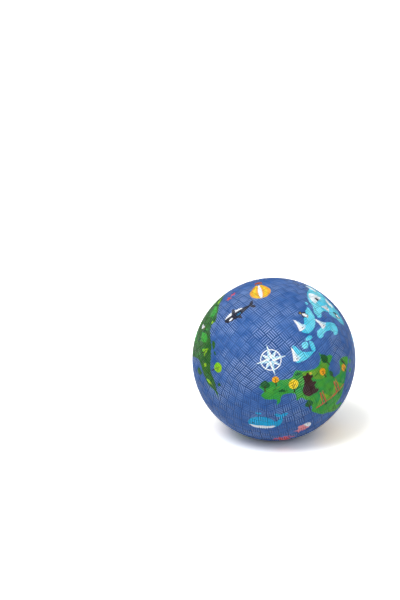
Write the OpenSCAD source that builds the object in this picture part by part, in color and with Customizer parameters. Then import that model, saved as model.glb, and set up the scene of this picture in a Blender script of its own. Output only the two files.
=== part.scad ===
// Inflatable textured rubber play ball, hand sized, with its moulded valve.
// Frame: +Z is up and the origin is the centre of the small flat that the ball rests on.
// The valve faces +Y at the height of the ball's centre. The ball's front faces -Y.

/* [Ball] */
// Outer diameter, over the crests of the moulded texture
ball_d = 127; // [100:1:180]
// Thickness of the rubber wall
wall_t = 2.2; // [1.6:0.1:3.5]
// Radius of the flat that the ball settles onto under its own weight
contact_r = 6.5; // [6:0.1:9]

/* [Valve housing] */
// Diameter of the housing's neck, which fills the hole through the wall
neck_d = 10; // [9:0.5:12]
// Depth of the neck's inner end below the outside of the ball
neck_depth = 14; // [12:0.5:18]
// Diameter of the flange that bonds the housing to the inside of the ball
flange_d = 22; // [18:0.5:26]
// Thickness of the flange
flange_t = 1.4; // [1:0.1:2]

/* [Valve patch] */
// Diameter of the reinforcing washer between the flange and the wall
patch_d = 30; // [28:0.5:36]
// Thickness of the washer
patch_t = 0.8; // [0.6:0.1:1.2]

/* [Valve core] */
// Diameter of the core's round head, flush with the outside of the ball
head_d = 6.4; // [6:0.1:7]
// Thickness of the head
head_t = 1.2; // [1:0.1:1.6]
// Diameter of the core's stem
stem_d = 4.6; // [4.4:0.1:5]
// Diameter of the ring near the stem's inner end that locks in the housing's groove
lock_d = 6; // [5.6:0.1:6.4]
// Diameter of the hole that leads an inflating needle into the core
needle_d = 2; // [1.8:0.1:2.2]
// Depth of that hole, down to where the slit in the core seals itself shut
needle_depth = 6; // [4:0.5:8]

/* [Hidden] */
$fn = 96;

ball_r = ball_d / 2;
inner_r = ball_r - wall_t;
centre_z = sqrt(ball_r * ball_r - contact_r * contact_r);
patch_inner_r = inner_r - patch_t;
flange_inner_r = patch_inner_r - flange_t;
lock_len = 1.6;
lock_depth = neck_depth - 3.2;
tip_len = 1.5;
tip_d = 3.4;
core_len = neck_depth + tip_len;
overrun = 5;

rubber_blue = [0.27, 0.42, 0.68];
patch_grey = [0.35, 0.36, 0.38];
housing_blue = [0.20, 0.33, 0.58];
core_white = [0.90, 0.91, 0.90];

// A ball of radius r about the ball's own centre, cut flat where it is below the height base_z
module settled_ball(r, base_z) {
    intersection() {
        translate([0, 0, centre_z]) sphere(r = r);
        translate([-ball_d, -ball_d, base_z]) cube([2 * ball_d, 2 * ball_d, 2 * ball_d]);
    }
}

// Puts its children on the valve's axis: local origin at the ball's centre, local +Z outward
module on_valve_axis() {
    translate([0, 0, centre_z]) rotate([-90, 0, 0]) children();
}

// A round bar on the valve's axis that runs between two depths below the outside of the ball
module valve_bar(d, depth_in, depth_out) {
    translate([0, 0, ball_r - depth_in]) cylinder(d = d, h = depth_in - depth_out);
}

// A disc of shell between two radii about the ball's centre, as wide as d
module shell_disc(d, r_in, r_out) {
    intersection() {
        difference() {
            sphere(r = r_out);
            sphere(r = r_in);
        }
        translate([0, 0, r_in - overrun]) cylinder(d = d, h = r_out - r_in + 2 * overrun);
    }
}

// The hollow moulded wall, with the hole that the valve fills
module ball_wall() {
    color(rubber_blue) difference() {
        settled_ball(ball_r, 0);
        settled_ball(inner_r, wall_t);
        on_valve_axis() valve_bar(neck_d, neck_depth, -overrun);
    }
}

// The washer of rubber sheet that is bonded round the valve, on the inside of the wall
module valve_patch() {
    color(patch_grey) on_valve_axis() difference() {
        shell_disc(patch_d, patch_inner_r, inner_r);
        valve_bar(neck_d, neck_depth, -overrun);
    }
}

// The moulded boss that holds the core: a neck through the wall and a flange on the washer
module valve_housing() {
    color(housing_blue) on_valve_axis() difference() {
        union() {
            shell_disc(flange_d, flange_inner_r, patch_inner_r);
            intersection() {
                sphere(r = ball_r);
                valve_bar(neck_d, neck_depth, -overrun);
            }
        }
        valve_bar(stem_d, neck_depth + overrun, -overrun);
        valve_bar(head_d, head_t, -overrun);
        valve_bar(lock_d, lock_depth + lock_len, lock_depth);
    }
}

// The self-sealing core: head, stem, locking ring, tapered tip and the needle's lead-in hole
module valve_core() {
    color(core_white) on_valve_axis() difference() {
        union() {
            intersection() {
                sphere(r = ball_r);
                valve_bar(head_d, head_t, -overrun);
            }
            valve_bar(stem_d, neck_depth, head_t);
            valve_bar(lock_d, lock_depth + lock_len, lock_depth);
            translate([0, 0, ball_r - core_len]) cylinder(d1 = tip_d, d2 = stem_d, h = tip_len);
        }
        valve_bar(needle_d, needle_depth, -overrun);
    }
}

ball_wall();
valve_patch();
valve_housing();
valve_core();
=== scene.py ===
import math

import bpy
import numpy as np
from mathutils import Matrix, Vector
from mathutils.geometry import delaunay_2d_cdt
from mathutils.kdtree import KDTree


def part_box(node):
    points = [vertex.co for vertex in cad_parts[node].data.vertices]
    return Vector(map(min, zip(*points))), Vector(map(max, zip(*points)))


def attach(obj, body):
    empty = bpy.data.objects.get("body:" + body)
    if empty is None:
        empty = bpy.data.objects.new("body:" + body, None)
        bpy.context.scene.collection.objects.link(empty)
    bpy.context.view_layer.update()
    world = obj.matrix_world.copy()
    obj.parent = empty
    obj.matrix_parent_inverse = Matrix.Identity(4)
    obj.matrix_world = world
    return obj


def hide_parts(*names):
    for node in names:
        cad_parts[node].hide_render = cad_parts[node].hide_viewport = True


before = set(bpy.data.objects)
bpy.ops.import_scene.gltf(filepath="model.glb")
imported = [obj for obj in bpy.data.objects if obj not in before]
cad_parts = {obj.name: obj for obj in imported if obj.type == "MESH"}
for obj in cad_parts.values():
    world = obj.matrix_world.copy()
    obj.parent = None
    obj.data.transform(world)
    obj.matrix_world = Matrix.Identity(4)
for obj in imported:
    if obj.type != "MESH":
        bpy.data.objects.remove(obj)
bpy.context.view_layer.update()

# A hand-sized inflatable rubber play ball. Its wall is moulded in a basket weave of ribs and
# printed with a picture map, and its valve is at the back. Lengths are in metres unless a
# name says mm, and angles are in degrees.

MM = 0.001
# Takes the place of 0 where a length is divided by
TINY = 1e-12

# ---------------------------------------------------------------- the ball's own frame

wall_low, wall_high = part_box("ball_wall")
BALL_R = round((wall_high.x - wall_low.x) / 2, 4)
CENTRE = np.array((0.0, 0.0, wall_high.z - BALL_R))
WALL = 2.2 * MM

# The mould's pole leans forward from straight up, and a little to the left.
POLE_LEAN = 44
POLE_TURN = 8
# Longitude of the meridian that runs straight down from the pole, and of the weave's first axis.
FRONT_LON = -165
WEAVE_LON = -117


def unit(v):
    """The vector or rows of vectors v at length 1."""
    return v / np.linalg.norm(v, axis=-1, keepdims=True)


def leaning(lean, turn):
    """The direction that leans forward from straight up, turned to the left."""
    lean, turn = math.radians(lean), math.radians(turn)
    return np.array((
        -math.sin(lean) * math.sin(turn),
        -math.sin(lean) * math.cos(turn),
        math.cos(lean),
    ))


POLE = leaning(POLE_LEAN, POLE_TURN)
DOWNHILL = leaning(POLE_LEAN + 90, POLE_TURN)
SIDEWAYS = np.cross(POLE, DOWNHILL)


def compass(lon):
    """The direction from the ball's centre to the equator at that longitude."""
    angle = math.radians(lon - FRONT_LON)
    return math.cos(angle) * DOWNHILL + math.sin(angle) * SIDEWAYS


def place(lon, lat):
    """The direction from the ball's centre to a place on the map."""
    lat = math.radians(lat)
    return math.cos(lat) * compass(lon) + math.sin(lat) * POLE


# ---------------------------------------------------------------- the weave

# Six square panels cover the ball, as a cube's faces would. Each is a grid of cells of
# parallel ribs, and the ribs of neighbouring cells run at right angles. Panel coordinates
# are in thirds of a rib's width, and FLANK is how much of them a rib's slope takes.
CELLS = 14
RIBS = 4
RIB = 3
FLANK = 0.95
CELL = RIB * RIBS
PANEL = CELLS * CELL
RIB_DEPTH = 0.45 * MM

AXES = np.array((compass(WEAVE_LON), compass(WEAVE_LON + 90), POLE))
PANELS = []
for k in range(3):
    PANELS.append((AXES[k], AXES[(k + 1) % 3], AXES[(k + 2) % 3]))
    PANELS.append((-AXES[k], AXES[(k + 2) % 3], AXES[(k + 1) % 3]))

# The smooth pad round the valve, the groove that rings it and the width of their slopes
VALVE = np.array((0.0, 1.0, 0.0))
NECK_R = 5 * MM
PAD_GROOVE_R = 7.4 * MM
PAD_SLOPE = 0.5 * MM
# The rounded edge of the hole, and its lowest height as a share of a rib's
LIP = 0.35 * MM
LIP_LOW = 0.3

# Two directions square to the valve's axis
ACROSS = np.array((1.0, 0.0, 0.0))
ABOVE = np.array((0.0, 0.0, 1.0))

# Radii of the valve's head, stem, locking ring and needle hole, in mm
HEAD_R = 3.2
STEM_R = 2.3
LOCK_R = 3.0
NEEDLE_R = 1.0

# Rows of faces over the inside of the ball, and the texture map's name
INSIDE_ROWS = 40
TEXTURE_MAP = "OFBake"

# How near to each other two places are one: in panel coordinates, in digits of them, and in
# directions where panels meet. An edge whose ends are lower than GROOVE_FLOOR is a groove's.
SNAP = 1e-3
POINT_DIGITS = 4
WELD = 1e-5
GROOVE_FLOOR = 1e-4


def panel_of(d):
    """The index of the panel that the direction d is in."""
    return max(range(6), key=lambda i: PANELS[i][0] @ d)


def to_panel(d, panel):
    """The panel coordinates of the direction d."""
    out, across, up = PANELS[panel]
    quarter = math.pi / 2
    u = math.atan2(d @ across, d @ out) / quarter + 0.5
    v = math.atan2(d @ up, d @ out) / quarter + 0.5
    return min(max(u, 0), 1) * PANEL, min(max(v, 0), 1) * PANEL


def from_panel(u, v, panel):
    """The directions at those panel coordinates."""
    out, across, up = PANELS[panel]
    quarter = math.pi / 2
    x = np.tan((u / PANEL - 0.5) * quarter)[:, None]
    y = np.tan((v / PANEL - 0.5) * quarter)[:, None]
    return unit(out + x * across + y * up)


def weave_height(u, v):
    """The weave's height at those panel coordinates, from 0 in a groove to 1 on a rib."""
    i, j = np.floor(u / CELL), np.floor(v / CELL)
    s, t = u - CELL * i, v - CELL * j
    ribs_along_u = (i + j) % 2 == 0
    along = np.where(ribs_along_u, s, t)
    across = np.where(ribs_along_u, t, s) % RIB
    nearest_groove = np.minimum.reduce((across, RIB - across, along, CELL - along))
    return np.clip(nearest_groove / FLANK, 0, 1)


def surface_height(d, u, v):
    """The moulded height, 0 to 1, with the weave run out round the valve's pad."""
    from_valve = BALL_R * np.arccos(np.clip(d @ VALVE, -1, 1))
    weave = weave_height(u, v) * np.clip((from_valve - PAD_GROOVE_R) / PAD_SLOPE, 0, 1)
    pad = np.clip((PAD_GROOVE_R - from_valve) / PAD_SLOPE, 0, 1)
    lip = np.clip(LIP_LOW + (1 - LIP_LOW) * (from_valve - NECK_R) / LIP, 0, 1)
    return np.maximum(weave, pad) * lip


class Drawing:
    """Points and the edges between them in one panel, each point held once."""

    def __init__(self):
        self.points = []
        self.index = {}
        self.edges = set()

    def point(self, u, v):
        key = (round(u, POINT_DIGITS), round(v, POINT_DIGITS))
        if key not in self.index:
            self.index[key] = len(self.points)
            self.points.append(key)
        return self.index[key]

    def line(self, *points):
        ids = [self.point(*p) for p in points]
        for a, b in zip(ids, ids[1:]):
            if a != b:
                self.edges.add((min(a, b), max(a, b)))


def draw_cell(drawing, i, j):
    """Draws one cell's ribs: its border, grooves, rib tops and the slopes at their ends."""
    swap = (i + j) % 2 == 1

    def line(*points):
        drawing.line(*[
            (i * CELL + (b if swap else a), j * CELL + (a if swap else b)) for a, b in points
        ])

    middle = CELL / 2
    stops = sorted([RIB * k for k in range(RIBS + 1)] + [middle])
    for side in (0, CELL):
        line(*[(side, stop) for stop in stops])
        line(*[(stop, side) for stop in stops])
    for groove in range(RIB, CELL, RIB):
        line((0, groove), (middle, groove), (CELL, groove))
    near, far = FLANK, CELL - FLANK
    for rib in range(0, CELL, RIB):
        for foot, top in ((rib, rib + FLANK), (rib + RIB, rib + RIB - FLANK)):
            line((0, foot), (near, top), (middle, top), (far, top), (CELL, foot))
        for end in (near, far):
            line((end, rib + FLANK), (end, rib + RIB - FLANK))


def arc_pieces(p, q):
    """The short arc from p to q, cut where it may cross from one panel to the next."""
    a, b = AXES @ p, AXES @ q
    cuts = [0.0, 1.0]
    for k in range(3):
        for sign in (-1, 1):
            start = a[k] + sign * a[(k + 1) % 3]
            end = b[k] + sign * b[(k + 1) % 3]
            if start * end < 0:
                cuts.append(start / (start - end))
    stops = [unit(p + (q - p) * cut) for cut in sorted(cuts)]
    return list(zip(stops, stops[1:]))


def draw_outline(drawings, outline):
    """Draws a closed outline of directions into the panels that it crosses."""
    for p, q in zip(outline, np.roll(outline, -1, axis=0)):
        for a, b in arc_pieces(p, q):
            panel = panel_of(a + b)
            drawings[panel].line(to_panel(a, panel), to_panel(b, panel))


# ---------------------------------------------------------------- outlines of the print

# Points round a circle on the ball: at least so many, and so many for each mm of its radius
RING_LEAST = 24
RING_PER_MM = 6


def ring(centre, radius):
    """A circle of directions round centre, at that distance over the ball's surface."""
    side = unit(np.cross(centre, POLE))
    other = np.cross(centre, side)
    angle = radius / BALL_R
    count = max(RING_LEAST, int(radius / MM * RING_PER_MM))
    turns = np.linspace(0, 2 * math.pi, count, endpoint=False)[:, None]
    flat = np.cos(turns) * side + np.sin(turns) * other
    return math.cos(angle) * centre + math.sin(angle) * flat


def smooth(points, step):
    """A closed smooth curve through the points, with a point about every step."""
    points = np.array(points, float)
    curve = []
    for k in range(len(points)):
        a, b, c, d = (points[(k + n) % len(points)] for n in (-1, 0, 1, 2))
        count = max(1, round(float(np.linalg.norm(c - b)) / step))
        for t in np.arange(count) / count:
            curve.append(0.5 * (
                2 * b + (c - a) * t + (2 * a - 5 * b + 4 * c - d) * t * t
                + (3 * b - a - 3 * c + d) * t * t * t
            ))
    return np.array(curve)


def flat_on_ball(directions, centre, east, north):
    """The directions as flat points round centre, true to distance and bearing from it."""
    depth = directions @ centre
    x, y = directions @ east, directions @ north
    side = np.hypot(x, y)
    stretch = BALL_R * np.arctan2(side, depth) / np.maximum(side, TINY)
    return np.stack((x * stretch, y * stretch), axis=1)


def inside(points, outline):
    """Which of the flat points are inside the flat closed outline."""
    x, y = points[:, :1], points[:, 1:]
    x0, y0 = outline.T
    x1, y1 = np.roll(outline, -1, axis=0).T
    spans = (y0 > y) != (y1 > y)
    with np.errstate(divide="ignore", invalid="ignore"):
        crossing = x0 + (y - y0) * (x1 - x0) / (y1 - y0)
    return (spans & (x < crossing)).sum(axis=1) % 2 == 1


def covered(directions, centre, outline):
    """Which of the directions are inside a closed outline drawn round centre."""
    near = directions @ centre > (outline @ centre).min()
    east = unit(np.cross(centre, unit(centre + AXES[np.argmin(abs(AXES @ centre))])))
    north = np.cross(centre, east)
    hit = np.zeros(len(directions), bool)
    flat = flat_on_ball(directions[near], centre, east, north)
    hit[near] = inside(flat, flat_on_ball(outline, centre, east, north))
    return hit


# ---------------------------------------------------------------- motifs

# A motif is a list of printed areas, each an ink and a flat outline in mm with north up,
# and what comes later in the list is printed over what comes before. Curves have a point
# about every CURVE_STEP.
CURVE_STEP = 0.8


def blob(ink, *points):
    """An area with a smooth edge through the points."""
    return ink, smooth(points, CURVE_STEP)


def shape(ink, *points):
    """An area with straight edges."""
    return ink, np.array(points, float)


def arc(x, y, rx, ry, start=0, end=360):
    """Points along part of an oval."""
    count = max(8, round(abs(end - start) / 360 * math.pi * (rx + ry) / CURVE_STEP))
    turns = np.radians(np.linspace(start, end, count + 1))
    return np.stack((x + rx * np.cos(turns), y + ry * np.sin(turns)), axis=1)


def oval(ink, x, y, rx, ry=None):
    """A filled oval, or a circle where one radius is given."""
    return ink, arc(x, y, rx, ry or rx)[:-1]


def stroke(ink, width, *points):
    """A painted line of even width through the points."""
    points = np.array(points, float)
    along = unit(np.gradient(points, axis=0))
    side = np.stack((-along[:, 1], along[:, 0]), axis=1) * width / 2
    return ink, np.concatenate((points + side, (points - side)[::-1]))


def star_points(tips, outer, inner, turn=0):
    """The corners of a star, from the tip that points north."""
    radii = np.where(np.arange(2 * tips) % 2 == 0, outer, inner)
    angles = np.radians(90 + turn + np.arange(2 * tips) * 180 / tips)
    return np.stack((radii * np.cos(angles), radii * np.sin(angles)), axis=1)


def both_sides(*points):
    """The points and then their mirror images, which close an upright shape."""
    return [*points, *((-x, y) for x, y in reversed(points))]


def moved(motif, x=0, y=0, turn=0, size=1, flip=False):
    """A motif scaled, mirrored left to right if flip, turned to the left and shifted."""
    c, s = math.cos(math.radians(turn)), math.sin(math.radians(turn))
    turned = np.array(((c, s), (-s, c))) * size
    mirror = np.array((-1 if flip else 1, 1))
    return [(ink, outline * mirror @ turned + (x, y)) for ink, outline in motif]


def round_tree(crown, width, height, trunk=3.0):
    """A tree with an oval crown and that length of bare trunk below it."""
    low = -height / 2
    return [
        stroke("bark", 0.9, (0.2, low - trunk), (0, 0)),
        oval(crown, 0, 0, width / 2, height / 2),
        stroke("bark", 0.35, (0, low), (0, height * 0.15)),
        stroke("bark", 0.3, (0, low * 0.4), (width * 0.2, 0)),
        stroke("bark", 0.3, (0, low * 0.6), (-width * 0.2, low * 0.2)),
    ]


def leaf_tree(width, height, trunk=3.5):
    """A tree whose dark crown is one upright leaf with paler veins."""
    w, h = width / 2, height / 2
    edge = both_sides((w * 0.75, h * 0.45), (w, -h * 0.35), (w * 0.3, -h * 0.95))
    veins = []
    for y in (-0.5, -0.1, 0.3):
        for side in (-1, 1):
            veins.append(stroke("forest", 0.28, (0, y * h), (side * w * 0.6, (y + 0.25) * h)))
    return [
        blob("pine", (0, h), *edge),
        stroke("bark", 0.8, (0.3, -h - trunk), (0, -h * 0.3)),
        stroke("forest", 0.3, (0, -h * 0.3), (0, h * 0.75)),
    ] + veins


def fir(width, height):
    """A small fir of three tiers."""
    tiers = ((0.55, 0.65), (0.35, 0.65), (0.8, 0.32), (0.5, 0.32), (1, 0))
    edge = both_sides(*[(width / 2 * x, height * y) for x, y in tiers])
    return [stroke("bark", 0.7, (0, -0.9), (0, 0.4)), shape("pine", (0, height), *edge)]


def bush(width):
    """A low bush of three humps."""
    w = width / 2
    return [blob("pine", (-w, -0.6), (-w * 0.8, 0.8), (-w * 0.4, 0.6), (0, 1.8), (w * 0.4, 0.8),
                 (w * 0.8, 1.0), (w, -0.6), (0, -1.0))]


def palm(lean=1.5):
    """A palm with a bent trunk and five fronds."""
    fronds = [(-3.6, -0.6), (-3.0, 2.2), (0.3, 3.4), (3.2, 2.0), (3.6, -0.8)]
    drawn = [stroke("bark", 0.9, (0, -7), (lean * 0.3, -4), (lean, 0))]
    for x, y in fronds:
        drawn.append(blob("pine", (lean, 0), (lean + x * 0.45 - y * 0.16, y * 0.6 + 0.7),
                          (lean + x, y), (lean + x * 0.55 + y * 0.12, y * 0.45 - 0.4)))
    return drawn


def flat_tree(width):
    """A savanna tree: a forked trunk under a flat crown."""
    w = width / 2
    return [
        stroke("bark", 0.8, (0, -5), (0, -2), (-w * 0.45, 0.6)),
        stroke("bark", 0.6, (0, -2.4), (w * 0.45, 0.6)),
        blob("forest", (-w, 0.3), (-w * 0.7, 1.9), (0, 2.6), (w * 0.7, 1.8), (w, 0.3), (0, -0.1)),
    ]


def peak(width, height):
    """A snowy peak with a ridge line and a dark rock at its foot."""
    w, h = width / 2, height
    shaded = [(w * 0.2, h * 0.8), (w * 0.45, h * 0.35), (w, 0), (w * 0.3, -h * 0.12)]
    return [
        shape("white", (-w, 0), (-w * 0.45, h * 0.5), (-w * 0.1, h), *shaded, (-w * 0.4, -h * 0.1)),
        shape("frost", *shaded, (w * 0.1, h * 0.3)),
        blob("night", (-0.5, 0.2), (0.1, 1.1), (0.7, 0.3), (0.1, -0.1)),
    ]


def igloo():
    """A dome of snow blocks with an arched door."""
    drawn = [shape("white", *arc(0, -4, 6.5, 8.5, 0, 180))]
    for y, half in ((-1.4, 6.2), (1.2, 5.1), (3.2, 3.2)):
        drawn.append(stroke("frost", 0.3, (-half, y), (half, y)))
    for low, joints in ((-4, (-4.2, 3.4)), (-1.4, (-2.4, 4.0, 0.4)), (1.2, (-1.2, 2.0))):
        for x in joints:
            drawn.append(stroke("frost", 0.3, (x, low), (x * 0.92, low + 2.5)))
    return drawn + [shape("night", *arc(0, -4, 1.7, 3.4, 0, 180))]


def penguin():
    """A standing penguin, seen from the front."""
    wings = [stroke("night", 0.9, (side * 1.2, 1.8), (side * 2.9, -0.9)) for side in (-1, 1)]
    feet = [oval("sand", side * 0.9, -3.5, 0.9, 0.45) for side in (-1, 1)]
    return wings + feet + [
        oval("night", 0, -0.2, 2.1, 3.4),
        oval("night", 0, 3.7, 1.5, 1.4),
        oval("white", 0, -0.7, 1.4, 2.5),
        shape("sun", (-0.6, 3.7), (0.6, 3.7), (0, 2.5)),
    ]


def bear():
    """A brown bear that sits and looks to the right."""
    haunch, chest, head = (-1.2, -5.0, 5.2, 6.0), (0.6, -0.4, 3.8, 4.4), (1.8, 3.8, 3.3, 3.2)
    ears = ((-0.2, 6.6, 1.1), (3.4, 6.8, 1.1))
    muzzle, foot, arm = (4.6, 3.1, 2.0, 1.4), (2.8, -9.6, 3.0, 1.7), (3.8, -2.8, 2.8, 1.4)
    drawn = [oval("bark", *part) for part in (haunch, chest, head, *ears, muzzle, foot, arm)]
    return drawn + [oval("night", 3.2, 4.6, 0.4), oval("night", 6.2, 3.6, 0.5)]


def bridge():
    """A cable bridge with two braced towers, each on a dark rock, and fans of pale cables."""
    drawn = []
    height, half = 12.0, 1.6
    for foot in (-7.5, 7.5):
        for reach in (-7.2, -5.6, -4.0, 4.0, 5.6, 7.2):
            drawn.append(stroke("lime", 0.4, (foot, height - 1), (foot + reach, 0)))
        for side in (-half, half):
            drawn.append(stroke("coral", 0.85, (foot + side, -0.8), (foot + side * 0.7, height)))
        for level in (0.3, 0.55, 0.8):
            y = level * height
            drawn.append(stroke("coral", 0.45, (foot - half, y), (foot + half, y)))
        drawn.append(shape("night", *arc(foot + 1.2, -3.4, 1.9, 1.5, 0, 180)))
    drawn.append(stroke("coral", 1.1, (-15.5, -0.4), (15.5, -0.4)))
    return drawn


def whale():
    """A round-headed whale with its flukes up, a pale belly and a small spout."""
    drawn = [
        shape("lagoon", *arc(-3, -5, 11, 8.8, 0, 180), *arc(-3, -5, 11, 5.6, 180, 360)),
        blob("lagoon", (4, -0.6), (8.2, -1.6), (10.6, 0.6), (12.0, 3.6), (13.2, 3.4), (13.0, -1.6),
             (10.6, -6.0), (6.4, -8.6), (2, -6)),
        shape("white", *arc(-3, -7, 10.2, 3.2, 180, 360)),
        oval("night", -10, -4, 0.7),
        oval("lagoon", -5, 5.4, 0.5, 1.1),
    ]
    for side in (-1, 1):
        drawn += moved([oval("lagoon", side * 2.5, 0, 3.1, 1.6)], 12.6, 4.2, turn=side * 22)
        drawn.append(oval("lagoon", -5 + side * 1.2, 7.2, 1.2, 0.9))
    return drawn


def orca():
    """A black whale that swims to the right, with a white belly and eye patch."""
    drawn = [
        blob("night", (11.5, -0.6), (9.6, 2.2), (5, 3.6), (0, 3.4), (-5, 1.9), (-10, 0.7),
             (-10, -0.4), (-5, -1.5), (0, -3.2), (5, -3.8), (9.6, -2.8)),
        shape("night", (3.2, 3.0), (-0.4, 6.8), (-0.8, 2.8)),
        blob("white", (10.4, -2.0), (6, -1.6), (1, -1.4), (-4, -1.4), (0, -3.4), (5, -4.0),
             (9.2, -3.1)),
        blob("night", (4.6, -1.6), (2.8, -5.6), (1.2, -5.2), (2.0, -1.4)),
        oval("white", 6.8, 1.4, 1.7, 0.7),
        oval("teal", 0.2, 1.6, 1.9, 0.8),
    ]
    for side in (-1, 1):
        drawn += moved([oval("night", -2.0, 0, 2.6, 1.2)], -9.6, 0.2, turn=side * 50)
    return drawn


def fish(body, head):
    """A plump fish that swims to the right, its head in another ink."""
    return [
        blob(body, (-4.2, 0), (-8.4, 3.6), (-7.3, 0), (-8.4, -3.6)),
        blob(body, (0.5, 3.6), (-0.8, 5.8), (-3.2, 5.2), (-2.6, 2.4)),
        oval(body, 0, 0, 6.0, 4.4),
        shape(head, *arc(0, 0, 6.0, 4.4, -72, 72), (1.2, 0)),
        stroke("coral", 0.4, (-3.4, 2.4), (-2.8, 0), (-3.4, -2.4)),
        stroke("coral", 0.4, (-1.0, 3.0), (-0.4, 0), (-1.0, -3.0)),
        oval("night", 3.9, 0.9, 0.5),
    ]


def balloon():
    """A hot-air balloon of orange and yellow gores, with one white, and its basket."""
    drawn = []
    for ink, width in (("sand", 8.2), ("sun", 5.6), ("sand", 3.4), ("white", 1.6)):
        mouth = width * 0.3
        drawn.append(shape(ink, *arc(0, 1.2, width, 8.2, -28, 208), (-mouth, -10), (mouth, -10)))
    for side in (-1, 1):
        drawn.append(stroke("bark", 0.35, (side * 2.2, -10), (side * 2.4, -13)))
    return drawn + [shape("brick", *both_sides((3, -12.6), (2.5, -16.8)))]


def starfish(ink, size):
    """A soft five-armed starfish with pale spots."""
    drawn = [blob(ink, *star_points(5, size, size * 0.42))]
    for x, y in star_points(5, size * 0.5, 0)[::2]:
        drawn.append(oval("blush", x, y, size * 0.1))
    return drawn


def compass_rose():
    """An eight-pointed star in a ring, each point half shaded."""
    drawn = [oval("white", 0, 0, 8.2), oval("sea", 0, 0, 7.4)]
    for turn, tip in ((45, 8.8), (0, 12.6)):
        points = star_points(4, tip, 2.6, turn)
        drawn.append(shape("white", *points))
        for k in range(0, 8, 2):
            drawn.append(shape("frost", (0, 0), points[k], points[(k + 1) % 8]))
    return drawn + [oval("sea", 0, 0, 1.0)]


def wader():
    """A white wading bird with a bent neck."""
    return [
        blob("white", (-2.6, -1.2), (-1.6, 0.8), (0.4, 1.2), (1.0, 3.4), (2.2, 4.2), (2.6, 3.2),
             (1.9, 2.6), (2.2, 0), (0.6, -1.8)),
        shape("sand", (2.4, 4.0), (4.4, 3.2), (2.4, 3.2)),
        stroke("bark", 0.3, (0, -1.4), (-0.1, -4)),
        stroke("bark", 0.3, (0.8, -1.4), (0.9, -4)),
    ]


def cone_tree():
    """A bright pointed tree with a slanting trunk."""
    return [
        shape("lime", (-3.2, -3.4), (3.4, -3.0), (0.4, 4.6)),
        stroke("bark", 0.6, (-0.6, -5.2), (0.2, -2.0), (0.3, 1.6)),
        stroke("bark", 0.35, (0.1, -2.2), (1.5, -0.8)),
    ]


def sailboat():
    """A small boat with two sails."""
    return [
        blob("brick", (-5, 0), (5.4, 0), (3.6, -2.2), (-3.4, -2.2)),
        stroke("bark", 0.5, (0, -0.2), (0, 8.4)),
        shape("white", (0.5, 0.8), (0.5, 8.2), (4.8, 0.8)),
        shape("sun", (-0.5, 0.8), (-0.5, 7.2), (-3.8, 0.8)),
    ]


def turtle():
    """A sea turtle from above."""
    front = ((2.6, 2.6), (6.2, 4.4), (7.0, 2.0), (3.6, 1.0))
    hind = ((2.2, -2.6), (3.8, -5.2), (2.4, -5.6), (1.0, -3.6))
    drawn = [oval("lime", 0, 5.4, 1.5, 1.9)]
    for flipper in (front, hind):
        for side in (-1, 1):
            drawn.append(blob("lime", *[(side * x, y) for x, y in flipper]))
    drawn.append(oval("forest", 0, 0, 3.9, 4.6))
    drawn.append(shape("leaf", *star_points(3, 1.9, 1.7)))
    for x, y in star_points(6, 3.0, 0)[::2]:
        drawn.append(oval("leaf", x, y * 1.15, 0.8))
    return drawn


def octopus(ink):
    """A round-headed octopus with six curling arms."""
    drawn = [blob(ink, (0, 6.2), *both_sides((3.4, 4.2), (3.2, 0.6), (1.8, -0.8)))]
    for side in (-1, 1):
        for out, low in ((6.4, -1.2), (4.6, -4.6), (1.6, -5.6)):
            drawn.append(stroke(ink, 1.3, (side * 1.4, 0.4), (side * out * 0.55, low * 0.55 - 1),
                                (side * out, low), (side * (out + 0.8), low + 1.6)))
    drawn += [oval("white", x, 3.2, 0.9) for x in (-1.3, 1.3)]
    return drawn + [oval("night", x, 3.0, 0.4) for x in (-1.3, 1.3)]


def elephant():
    """An elephant that walks to the right."""
    return [
        blob("stone", (-7.4, 1.0), (-5.6, 3.8), (-1, 4.4), (2.6, 4.0), (5.4, 4.6), (7.6, 2.8),
             (8.3, -0.6), (8.9, -3.6), (8.0, -4.2), (7.1, -1.4), (5.6, -0.9), (4.4, -1.6),
             (4.4, -5.8), (2.2, -5.8), (1.8, -2.2), (-2.6, -2.2), (-3.2, -5.8), (-5.4, -5.8),
             (-6.0, -1.6)),
        blob("fog", (3.0, 3.4), (4.8, 2.4), (4.6, -0.4), (2.8, -0.6), (2.0, 1.4)),
        shape("white", (6.6, -0.6), (8.1, -1.7), (6.8, -1.2)),
        oval("night", 6.2, 2.4, 0.35),
    ]


def windmill():
    """A white windmill with a red cap and four sails."""
    drawn = [
        shape("white", *both_sides((2.4, -6), (1.4, 2))),
        shape("brick", (0, 4), *both_sides((1.9, 2))),
        shape("brick", *arc(0, -6, 0.8, 1.8, 0, 180)),
    ]
    for x, y in star_points(4, 5.6, 0, turn=20)[::2]:
        drawn.append(stroke("sand", 0.9, (x * 0.15, 2 + y * 0.15), (x, 2 + y)))
    return drawn


def hut():
    """A hut with a wide roof."""
    return [
        shape("sun", *both_sides((2.4, -3), (2.4, 0.2))),
        shape("brick", *both_sides((4, -0.2), (1.6, 3))),
        shape("bark", *both_sides((0.7, -3), (0.7, -1))),
    ]


# ---------------------------------------------------------------- the picture map

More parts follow.
